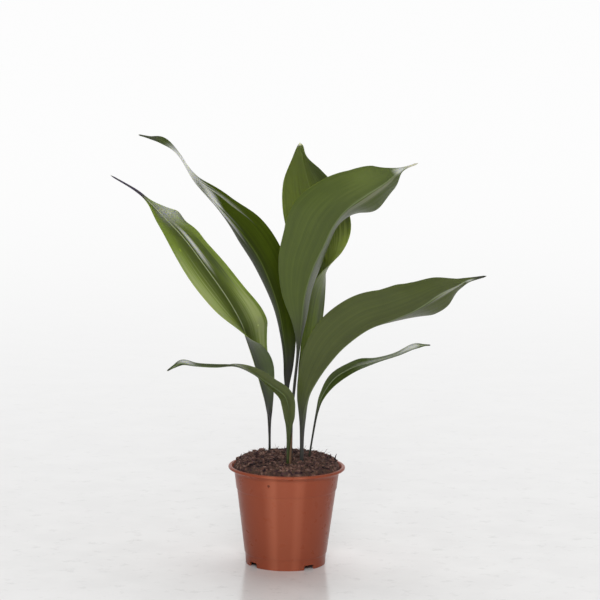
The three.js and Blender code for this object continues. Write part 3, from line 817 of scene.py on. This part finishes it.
# Fibres: length and thickness in millimetres, and how steeply they rise. One in nine stands, the rest lie.
FIBRE_LENGTHS = (3, 9)
FIBRE_THICKNESSES = (0.12, 0.4)
LYING = (-0.05, 0.25)
STANDING = (0.7, 2.0)
STANDING_STEP = 9
# How much of its width each stretch of a fibre keeps at its end, and how far stretches bend.
STRETCHES = (0.95, 0.9, 0.8, 0.45)
FIBRE_BEND = 0.3
TWIG_BEND = 0.12
TWIG_TONE = 0.05


def soil_height(x, y):
    """The heap's height in millimetres at a place in millimetres, with its lumps."""
    radius = min(math.hypot(x, y), SOIL_EDGE_RADIUS)
    heap = SOIL_EDGE_HEIGHT + SOIL_RISE * (1 - (radius / SOIL_EDGE_RADIUS) ** SOIL_SHOULDER)
    broad = math.sin(0.31 * x + 0.5) * math.cos(0.27 * y)
    narrow = math.sin(0.19 * x - 0.43 * y + 1.2) * math.cos(0.52 * x + 0.17 * y)
    clods = noise.fractal(Vector((x, y, 3.0)) * 0.12, 0.9, 2.1, 5)
    inside = 1 - (radius / SOIL_EDGE_RADIUS) ** 6
    return heap + inside * (0.9 * (broad + narrow) + 2.2 * clods - 0.6)


def mound_mesh():
    """The heap as a turned form, from its middle over the edge and down inside the pot."""
    builder = bmesh.new()
    outline = [(SOIL_EDGE_RADIUS * ring / SOIL_RINGS, SOIL_BLANK) for ring in range(SOIL_RINGS + 1)]
    turn_outline(builder, outline + SOIL_SKIRT, SOIL_SEGMENTS)
    for vert in builder.verts:
        x, y, z = vert.co / MM
        if z > SOIL_BLANK - 1:
            vert.co.z = soil_height(x, y) * MM
        vert.co.z = min(vert.co.z, SOIL_TOP * MM)
    tone = builder.verts.layers.float.new("tone")
    for vert in builder.verts:
        vert[tone] = 0.5 + 0.5 * noise.noise(vert.co / MM * 0.3)
    bmesh.ops.recalc_face_normals(builder, faces=builder.faces)
    return builder


def random_spot(draw, margin):
    """A random place on the heap in millimetres, evenly spread, at least margin inside the pot's wall."""
    radius = (SOIL_EDGE_RADIUS - margin) * math.sqrt(draw.random())
    turn = draw.uniform(0, math.tau)
    x = radius * math.cos(turn)
    y = radius * math.sin(turn)
    return Vector((x, y, soil_height(x, y)))


def random_direction(draw):
    """A random unit vector."""
    return Vector([draw.gauss(0, 1) for _ in range(3)]).normalized()


def crumb_mesh(settings):
    """Crumbs of peat, half sunk in the heap, from dust to small clods, each with a tone of its own."""
    draw = random.Random(settings.seed)
    crumb = bmesh.new()
    bmesh.ops.create_icosphere(crumb, subdivisions=1, radius=1)
    corners = len(crumb.verts)
    mesh = mesh_from("crumb", crumb)
    builder = bmesh.new()
    for _ in range(settings.crumbs):
        builder.from_mesh(mesh)
    bpy.data.meshes.remove(mesh)
    tone = builder.verts.layers.float.new("tone")
    for index, vert in enumerate(builder.verts):
        if index % corners == 0:
            size = SMALLEST_CRUMB + CRUMB_SPREAD * draw.random() ** 4
            place = random_spot(draw, CRUMB_MARGIN + size)
            place.z = min(place.z + CRUMB_LIFT * size, SOIL_TOP - size)
            turned = Matrix.Rotation(draw.uniform(-CRUMB_TILT, CRUMB_TILT), 4, random_direction(draw))
            spin = Matrix.Rotation(draw.uniform(0, math.pi), 4, "Z")
            stretch = Matrix.Diagonal((*[draw.uniform(*span) for span in CRUMB_STRETCH], 1))
            matrix = Matrix.Translation(place) @ spin @ turned @ stretch
            own = draw.random()
        rough = vert.co + CRUMB_ROUGHNESS * random_direction(draw)
        vert.co = (matrix @ (rough * size)) * MM
        vert[tone] = own
    return builder


def strand(builder, start, direction, length, thick, draw, bend):
    """One bent fibre: a slim five-sided bar that thins towards its end."""
    aim = Vector(direction).normalized()
    place = start.copy()
    ring = bmesh.ops.create_circle(builder, segments=5, radius=thick * MM)["verts"]
    turned = aim.to_track_quat("Z", "Y").to_matrix().to_4x4()
    bmesh.ops.transform(builder, matrix=Matrix.Translation(place * MM) @ turned, verts=ring)
    face = bmesh.ops.contextual_create(builder, geom=ring)["faces"][0]
    made = list(ring)
    step = length / len(STRETCHES)
    for thin in STRETCHES:
        face = bmesh.ops.extrude_discrete_faces(builder, faces=[face])["faces"][0]
        aim = (aim + bend * random_direction(draw)).normalized()
        bmesh.ops.translate(builder, vec=aim * (step * MM), verts=face.verts)
        place += aim * step
        for vert in face.verts:
            vert.co = place * MM + (vert.co - place * MM) * thin
        made.extend(face.verts)
    return made


def fibre_mesh(settings):
    """Peat fibres and slivers of bark on the heap, and the few twigs that stand up at its edge."""
    draw = random.Random(settings.seed + 1)
    builder = bmesh.new()
    tone = builder.verts.layers.float.new("tone")
    for index in range(settings.fibres):
        start = random_spot(draw, max(FIBRE_LENGTHS))
        heading = draw.uniform(0, math.tau)
        rise = draw.uniform(*(STANDING if index % STANDING_STEP == 0 else LYING))
        direction = (math.cos(heading), math.sin(heading), rise)
        own = draw.random()
        length = draw.uniform(*FIBRE_LENGTHS)
        thick = draw.uniform(*FIBRE_THICKNESSES)
        for vert in strand(builder, start, direction, length, thick, draw, FIBRE_BEND):
            vert[tone] = own
    for start, direction, length, thick in TWIGS:
        for vert in strand(builder, Vector(start), direction, length, thick, draw, TWIG_BEND):
            vert[tone] = TWIG_TONE
    bmesh.ops.holes_fill(builder, edges=builder.edges, sides=5)
    bmesh.ops.recalc_face_normals(builder, faces=builder.faces)
    return builder


def soil_finish():
    """Peat potting soil: moist, dark brown to purple brown, with rusty, straw and greenish bits. Matt."""
    material, tree, place = new_material("moist peat potting soil")
    own = add_node(tree, "ShaderNodeAttribute", attribute_name="tone").outputs["Fac"]
    # Clods 4 mm wide, and bits of 1 to 2 mm inside them.
    clods = add_node(tree, "ShaderNodeTexNoise", {"Vector": place, "Scale": 250.0, "Detail": 5.0})
    mixed = add_node(tree, "ShaderNodeMath", {0: own, 1: 0.45, 2: clods}, operation="MULTIPLY_ADD")
    ramp = add_node(tree, "ShaderNodeValToRGB", {"Fac": mixed})
    stops = ramp.color_ramp.elements
    stops[0].position, stops[0].color = 0.35, linear("#150e10")
    stops[1].position, stops[1].color = 0.95, linear("#93766a")
    for position, colour in ((0.5, "#322428"), (0.62, "#593d3e"), (0.72, "#57493b"), (0.82, "#745046")):
        stops.new(position).color = linear(colour)
    # Damp, darker ground in patches 1 to 2 cm wide.
    patches = add_node(tree, "ShaderNodeTexNoise", {"Vector": place, "Scale": 75.0, "Detail": 2.0})
    coloured = lay(tree, ramp, [
        Layer(patches, 0.42, 0.62, 0.0, 0.4, linear("#23181c"), "LINEAR")])
    fine = add_node(tree, "ShaderNodeTexNoise", {"Vector": place, "Scale": 900.0, "Detail": 5.0})
    finish_material(tree, coloured, fine, 0.8, 0.8 * MM, {"Roughness": 0.9, "IOR": 1.4})
    return material


class SoilSettings(bpy.types.PropertyGroup):
    """How crumbly the soil is."""

    crumbs: bpy.props.IntProperty(name="Crumbs", description="Crumbs on the heap", default=4500, min=0)
    fibres: bpy.props.IntProperty(name="Fibres", description="Fibres on the heap", default=900, min=0)
    seed: bpy.props.IntProperty(name="Seed", description="Start of the random draws", default=7)


class PLANT_OT_soil(bpy.types.Operator):
    """Fill the pot with a heap of crumbly soil"""

    bl_idname = "plant.soil"
    bl_label = "Soil"

    def execute(self, context):
        settings = context.scene.plant_soil
        finish = soil_finish()
        mound = new_piece("soil_heap", mound_mesh(), [finish], "soil", slot="potting_soil")
        crumbs = new_piece("soil_crumbs", crumb_mesh(settings), [finish], slot="potting_soil")
        fibres = new_piece("soil_fibres", fibre_mesh(settings), [finish], slot="potting_soil")
        for piece in (mound, crumbs, fibres):
            shade_smooth(piece.data, 180 if piece is mound else 60)
        return {"FINISHED"}


# Pot


def arc(centre, radii, start, end, steps):
    """Points on an ellipse's arc, as (radius, height). Angles in degrees, 0 outward and 90 up."""
    points = []
    for step in range(steps + 1):
        angle = math.radians(start + (end - start) * step / steps)
        points.append((centre[0] + radii[0] * math.cos(angle), centre[1] + radii[1] * math.sin(angle)))
    return points


def pot_outline():
    """The pot's section from the pad, up the outside, over the lip and down the inside, in millimetres."""
    outside = [
        (0, 0), (26, 0), (27.5, 6), (44.9, 6), (46.4, 0.3), (46.7, 0), (47.6, 0), (47.85, 0.3), (48.55, 12.3),
        (48.75, 12.7), (49.3, 13.5), (49.5, 14), (59.25, 89.7), (59.4, 90.3), (60.0, 91.2), (60.2, 91.7),
        (62.35, 108.3)]
    cove = arc((68.2, 108.5), (5.8, 6.6), 178, 92, 10)
    lip = arc((68.2, 116.9), (1.8, 1.8), -88, 90, 12)
    inside = [
        (66.6, 118.7), (66.1, 118.4), (65.0, 116.3), (62.4, 112.7), (61.0, 108.5), (58.8, 91.5), (57.9, 90),
        (46.5, 7.4), (26.1, 7.4), (24.6, 1.4), (0, 1.4)]
    return outside + cove + lip + inside


POT_SEGMENTS = 128
# Edges sharper than this stay crisp.
POT_SHARP_DEGREES = 28

# What is cut out of the pot, in millimetres: notches in its foot ring, and drain holes in the floor's ring.
NOTCHES = 4
NOTCH_RADIUS = 47.8
NOTCH_SIZE = (14, 12, 11.2)
NOTCH_CORNER = 0.9
FIRST_NOTCH_DEGREES = 36.5
DRAINS = 8
DRAIN_PLACE = (0, -36.5, 6.7)
DRAIN_RADIUS = 3.5
DRAIN_DEPTH = 4.2
# The ball that presses the small dimple into the neck. The pot is coloured dark brown in and just round it.
DIMPLE = (-21.1, -58.9, 104.9)
DIMPLE_RADIUS = 1.6

# Pale bands up the pot's wall, painted in where the real pot has soft highlights: degrees from the front
# towards +X, and how pale.
PALE_BANDS = [
    (-162, 0.1), (-150, 0.5), (-130, 0.1), (-107, 0.1), (-95, 0.3), (-80, 0.1), (-30, 0.15), (-14, 0.75),
    (-8, 0.38), (6, 0.35), (13, 0.6), (17, 0.5), (24, 0.15), (70, 0.1), (95, 0.3), (108, 0.1), (131, 0.5),
    (143, 0.1),
]


def pot_mesh():
    """The moulded pot as one turned body, before its notches, holes and dimple are cut out."""
    builder = bmesh.new()
    turn_outline(builder, pot_outline(), POT_SEGMENTS)
    bmesh.ops.recalc_face_normals(builder, faces=builder.faces)
    return builder


def points_outward(edge):
    """Whether an edge of a notch's box is one of the two along its top that point away from the axis."""
    first, second = (vert.co for vert in edge.verts)
    along_top = abs(first.z - second.z) < 0.1 * MM and first.z > 0
    return along_top and abs(first.to_2d().length - second.to_2d().length) > 5 * MM


def pot_cutters():
    """The foot notches, the ring of drain holes and the dimple, as bodies that don't touch."""
    builder = bmesh.new()
    for index in range(NOTCHES):
        turn = Matrix.Rotation(math.radians(FIRST_NOTCH_DEGREES + 360 / NOTCHES * index), 4, "Z")
        place = Matrix.Translation(Vector((0, -NOTCH_RADIUS, 0)) * MM)
        size = Matrix.Diagonal((*[length * MM for length in NOTCH_SIZE], 1))
        made = bmesh.ops.create_cube(builder, size=1, matrix=turn @ place @ size)
        edges = {edge for vert in made["verts"] for edge in vert.link_edges}
        bmesh.ops.bevel(
            builder, geom=[edge for edge in edges if points_outward(edge)], offset=NOTCH_CORNER * MM,
            affect="EDGES", segments=4, profile=0.5, material=-1)
    for index in range(DRAINS):
        turn = Matrix.Rotation(math.tau * (index + 0.5) / DRAINS, 4, "Z")
        bmesh.ops.create_cone(
            builder, cap_ends=True, segments=24, radius1=DRAIN_RADIUS * MM, radius2=DRAIN_RADIUS * MM,
            depth=DRAIN_DEPTH * MM, matrix=turn @ Matrix.Translation(Vector(DRAIN_PLACE) * MM))
    bmesh.ops.create_icosphere(
        builder, subdivisions=3, radius=DIMPLE_RADIUS * MM, matrix=Matrix.Translation(Vector(DIMPLE) * MM))
    return builder


def pot_finish():
    """Injection-moulded polypropylene in terracotta red: a satin skin with faint streaks of flow.

    Light glows a little through thin edges, and fine scuffs and soil dust dull the gloss in places.
    """
    material, tree, place = new_material("moulded terracotta polypropylene")
    drawn = add_node(tree, "ShaderNodeMapping", {"Vector": place, "Scale": (55, 55, 8)})
    flow = add_node(tree, "ShaderNodeTexNoise", {"Vector": drawn, "Scale": 1.0, "Detail": 3.0})
    dust = add_node(tree, "ShaderNodeTexNoise", {"Vector": place, "Scale": 300.0, "Detail": 6.0})
    # Paler bands from foot to rim, in place of soft highlights.
    spot = add_node(tree, "ShaderNodeSeparateXYZ", {"Vector": place})
    ahead = add_node(tree, "ShaderNodeMath", {0: spot.outputs["Y"], 1: -1.0}, operation="MULTIPLY")
    turn = add_node(tree, "ShaderNodeMath", {0: spot.outputs["X"], 1: ahead}, operation="ARCTAN2")
    round_pot = add_node(tree, "ShaderNodeMapRange", {
        "Value": turn, "From Min": -math.pi, "From Max": math.pi})
    bands = add_node(tree, "ShaderNodeValToRGB", {"Fac": round_pot})
    bands.color_ramp.interpolation = "EASE"
    stops = bands.color_ramp.elements
    stops[0].color = stops[1].color = (0.1, 0.1, 0.1, 1)
    for degrees, level in PALE_BANDS:
        stops.new(0.5 + degrees / 360).color = (level, level, level, 1)
    away = add_node(tree, "ShaderNodeVectorMath", {0: place, 1: Vector(DIMPLE) * MM}, operation="DISTANCE")
    coloured = lay(tree, linear("#8c422a"), [
        Layer(flow, 0.0, 1.0, 0.0, 1.0, linear("#944933"), "LINEAR"),
        Layer(dust, 0.66, 0.8, 0.0, 0.3, linear("#5e3a2c"), "LINEAR"),
        Layer(bands, 0.0, 1.0, 0.0, 1.0, linear("#b5694f"), "LINEAR"),
        Layer(away, 1.4 * MM, 1.9 * MM, 0.85, 0.0, linear("#3a1c14"), "LINEAR"),
    ])
    scuffs = add_node(tree, "ShaderNodeTexNoise", {"Vector": place, "Scale": 90.0, "Detail": 6.0})
    gloss = add_node(tree, "ShaderNodeMapRange", {
        "Value": scuffs, "From Min": 0.3, "From Max": 0.7, "To Min": 0.26, "To Max": 0.34})
    grain = add_node(tree, "ShaderNodeTexNoise", {"Vector": place, "Scale": 1500.0, "Detail": 2.0})
    finish_material(tree, coloured, grain, 0.1, 0.1 * MM, {
        "Roughness": gloss, "IOR": 1.49, "Specular IOR Level": 0.14, "Subsurface Weight": 0.1,
        "Subsurface Radius": (1.0, 0.35, 0.2), "Subsurface Scale": 1.5 * MM})
    return material


class PLANT_OT_pot(bpy.types.Operator):
    """Mould the nursery pot"""

    bl_idname = "plant.pot"
    bl_label = "Pot"

    def execute(self, context):
        piece = new_piece("nursery_pot", pot_mesh(), [pot_finish()], "pot", slot="terracotta_plastic")
        cut = place_object("pot_cutters", mesh_from("pot_cutters", pot_cutters()))
        boolean = piece.modifiers.new("cut", "BOOLEAN")
        boolean.operation = "DIFFERENCE"
        boolean.solver = "EXACT"
        boolean.object = cut
        graph = context.evaluated_depsgraph_get()
        carved = bpy.data.meshes.new_from_object(piece.evaluated_get(graph))
        piece.modifiers.remove(boolean)
        old = piece.data
        piece.data = carved
        bpy.data.meshes.remove(old)
        bpy.data.objects.remove(cut)
        piece.data.name = piece.name
        shade_smooth(piece.data, POT_SHARP_DEGREES)
        return {"FINISHED"}


# Stage

# In metres: the floor's radius, where it starts to turn white, how fast it does, and the panels' aim.
FLOOR_RADIUS = 30
WASH_START = 0.12
WASH_PER_METRE = 0.95
PANEL_TARGET = (0, 0, 0.22)
# The camera's metres to the right of the pot's middle, and its turns up from straight down and about its
# own line of sight in degrees.
CAMERA_RIGHT = 0.013
CAMERA_TILT = 81.88
CAMERA_ROLL = 0.83


class StageSettings(bpy.types.PropertyGroup):
    """Camera and light."""

    lens: bpy.props.FloatProperty(
        name="Lens", description="Focal length in millimetres", default=153.0, min=10.0)
    distance: bpy.props.FloatProperty(
        name="Distance", description="Camera's distance in front of the pot", default=3.0, unit="LENGTH")
    height: bpy.props.FloatProperty(
        name="Height", description="Camera's height above the floor", default=0.747, unit="LENGTH")
    back: bpy.props.FloatProperty(
        name="Back light", description="Brightness of the lit wall behind the plant", default=1.0, min=0.0)
    front: bpy.props.FloatProperty(
        name="Front light", description="Brightness of the room in front of the plant", default=0.46, min=0.0)
    side: bpy.props.FloatProperty(
        name="Side light", description="Brightness of the room beside the plant", default=0.14, min=0.0)


def floor_finish():
    """Painted studio floor: pale, smooth and glossy enough to mirror the pot, and lost in white far away."""
    material, tree, place = new_material("pale gloss floor paint")
    cloud = add_node(tree, "ShaderNodeTexNoise", {"Vector": place, "Scale": 14.0, "Detail": 6.0})
    # Smudges left by feet and pots, up to 2 cm wide.
    smudges = add_node(tree, "ShaderNodeTexNoise", {
        "Vector": place, "Scale": 45.0, "Detail": 8.0, "Roughness": 0.7})
    coloured = lay(tree, linear("#f1f0ef"), [
        Layer(cloud, 0.4, 0.6, 0.0, 1.0, linear("#f6f5f4"), "LINEAR"),
        Layer(smudges, 0.56, 0.72, 0.0, 0.5, linear("#c9c8c6"), "LINEAR"),
    ])
    paint = add_node(tree, "ShaderNodeBsdfPrincipled", {
        "Base Color": coloured, "Roughness": 0.18, "IOR": 1.38})
    # The wash of light on the floor: white takes over with distance, more than half of it within a metre.
    far = add_node(tree, "ShaderNodeVectorMath", {0: place}, operation="LENGTH")
    fall = add_node(tree, "ShaderNodeMath", {
        0: far, 1: -WASH_PER_METRE, 2: WASH_PER_METRE * WASH_START},
        operation="MULTIPLY_ADD")
    near = add_node(tree, "ShaderNodeMath", {0: fall}, operation="EXPONENT", use_clamp=True)
    wash = add_node(tree, "ShaderNodeEmission", {"Color": (1, 1, 1, 1), "Strength": 0.98})
    both = add_node(tree, "ShaderNodeMixShader", {0: near, 1: wash, 2: paint})
    add_node(tree, "ShaderNodeOutputMaterial", {"Surface": both})
    return material


def surroundings(settings):
    """White surroundings that are brightest behind the plant and dimmest beside it, as in a studio.

    The camera sees them plain white from every side.
    """
    world = bpy.data.worlds.new("studio surroundings")
    world.use_nodes = True
    tree = world.node_tree
    tree.nodes.clear()
    direction = add_node(tree, "ShaderNodeTexCoord").outputs["Generated"]
    parts = add_node(tree, "ShaderNodeSeparateXYZ", {"Vector": direction})
    before = add_node(tree, "ShaderNodeMapRange", {
        "Value": parts.outputs["Y"], "From Min": -0.9, "From Max": -0.1, "To Min": settings.front,
        "To Max": settings.side}, interpolation_type="SMOOTHSTEP")
    behind = add_node(tree, "ShaderNodeMapRange", {
        "Value": parts.outputs["Y"], "From Min": 0.25, "From Max": 0.9, "To Min": 0.0,
        "To Max": settings.back - settings.side}, interpolation_type="SMOOTHSTEP")
    strength = add_node(tree, "ShaderNodeMath", {0: before, 1: behind})
    lit = add_node(tree, "ShaderNodeBackground", {"Color": (1, 1, 1, 1), "Strength": strength})
    seen = add_node(tree, "ShaderNodeBackground", {"Color": (1, 1, 1, 1), "Strength": 0.985})
    ray = add_node(tree, "ShaderNodeLightPath")
    both = add_node(tree, "ShaderNodeMixShader", {
        0: ray.outputs["Is Camera Ray"], 1: lit, 2: seen})
    add_node(tree, "ShaderNodeOutputWorld", {"Surface": both})
    return world


def panel_light(name, place, size, power, gloss=True):
    """A soft panel light, aimed at the plant. Without gloss it lights, but nothing mirrors it."""
    light = bpy.data.lights.new(name, "AREA")
    light.shape = "RECTANGLE"
    light.size, light.size_y = size
    light.energy = power
    lamp = place_object(name, light)
    aim = Vector(PANEL_TARGET) - Vector(place)
    lamp.matrix_world = Matrix.Translation(place) @ aim.to_track_quat("-Z", "Y").to_matrix().to_4x4()
    lamp.visible_glossy = gloss


class PLANT_OT_stage(bpy.types.Operator):
    """Set the floor, the lights and the camera"""

    bl_idname = "plant.stage"
    bl_label = "Studio"

    def execute(self, context):
        settings = context.scene.plant_stage
        builder = bmesh.new()
        bmesh.ops.create_circle(builder, cap_ends=True, segments=64, radius=FLOOR_RADIUS)
        mesh = mesh_from("studio_floor", builder)
        mesh.materials.append(floor_finish())
        floor = place_object("studio_floor", mesh)

        context.scene.world = surroundings(settings)
        panel_light("front_panel", (0.0, -2.4, 1.4), (1.2, 0.8), 32, gloss=False)
        panel_light("top_panel", (0.2, 0.5, 1.8), (1.4, 1.0), 12)

        lens = bpy.data.cameras.new("camera")
        lens.lens = settings.lens
        lens.clip_end = 200
        camera = place_object("camera", lens)
        place = Matrix.Translation((CAMERA_RIGHT, -settings.distance, settings.height))
        tilt = Matrix.Rotation(math.radians(CAMERA_TILT), 4, "X")
        camera.matrix_world = place @ tilt @ Matrix.Rotation(math.radians(CAMERA_ROLL), 4, "Z")
        context.scene.camera = camera
        context.scene.view_settings.view_transform = "Standard"
        return {"FINISHED"}


class PLANT_PT_panel(bpy.types.Panel):
    """The plant's parts in the sidebar"""

    bl_label = "Cast Iron Plant"
    bl_idname = "PLANT_PT_panel"
    bl_space_type = "VIEW_3D"
    bl_region_type = "UI"
    bl_category = "Plant"

    def draw(self, context):
        for operator in OPERATORS:
            self.layout.operator(operator.bl_idname)


OPERATORS = (PLANT_OT_stage, PLANT_OT_pot, PLANT_OT_soil, PLANT_OT_leaves, PLANT_OT_sheath)
GROUPS = {"plant_leaves": LeafSettings, "plant_soil": SoilSettings, "plant_stage": StageSettings}
CLASSES = (*GROUPS.values(), *OPERATORS, PLANT_PT_panel)


def register():
    for entry in CLASSES:
        bpy.utils.register_class(entry)
    for name, group in GROUPS.items():
        setattr(bpy.types.Scene, name, bpy.props.PointerProperty(type=group))


def unregister():
    for name in GROUPS:
        delattr(bpy.types.Scene, name)
    for entry in reversed(CLASSES):
        bpy.utils.unregister_class(entry)


def main():
    """Builds everything in order."""
    register()
    for operator in OPERATORS:
        group, name = operator.bl_idname.split(".")
        getattr(getattr(bpy.ops, group), name)()


if __name__ == "__main__":
    main()
